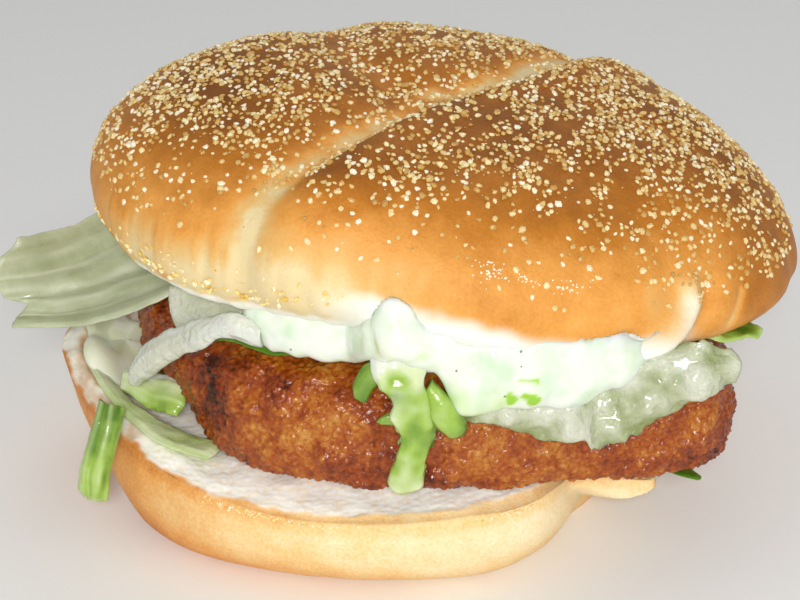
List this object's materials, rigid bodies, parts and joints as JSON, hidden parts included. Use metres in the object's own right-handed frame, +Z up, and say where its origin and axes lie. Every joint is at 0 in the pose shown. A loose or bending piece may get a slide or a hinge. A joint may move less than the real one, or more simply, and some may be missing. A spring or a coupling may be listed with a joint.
{
  "type": "fish sandwich",
  "caption": "Fried breaded fish fillet on a corn-dusted roll with torn lettuce and tartar sauce showing all round its sides.",
  "frame": {"origin": "centre of the heel's flat base, on the surface it rests on", "axes": "+X along the long side, towards the right end as seen from the front; +Z up; the front, where the sauce hangs over the fish, faces -Y"},
  "size_m": [0.1426, 0.1103, 0.0766],
  "materials": {
    "roll_heel": "baked crust with torn white crumb",
    "roll_crown": "golden brown crust dusted with cornmeal",
    "fish_crust": "fried crumb, oily",
    "tartar_sauce": "wet",
    "lettuce_pale": "wet ribbed leaf",
    "lettuce_clear": "wet translucent leaf",
    "lettuce_green": "wet leaf"
  },
  "bodies": {
    "root": {"heel": "roll_heel", "fish": "fish_crust", "crown": "roll_crown", "sauce": "tartar_sauce", "sauce_left": "tartar_sauce", "lettuce_leaf_left": "lettuce_pale", "lettuce_fold_left": "lettuce_clear", "lettuce_curl": "lettuce_clear", "lettuce_cup_left": "lettuce_clear", "lettuce_green_left": "lettuce_green", "lettuce_stem_left": "lettuce_green", "lettuce_under_sauce": "lettuce_green", "lettuce_center": "lettuce_green", "lettuce_lobe_left": "lettuce_green", "lettuce_lobe_right": "lettuce_green", "lettuce_point_center": "lettuce_green", "lettuce_sheet_right": "lettuce_clear", "lettuce_frill_right": "lettuce_green", "lettuce_tip_right": "lettuce_green"}
  },
  "joints": []
}
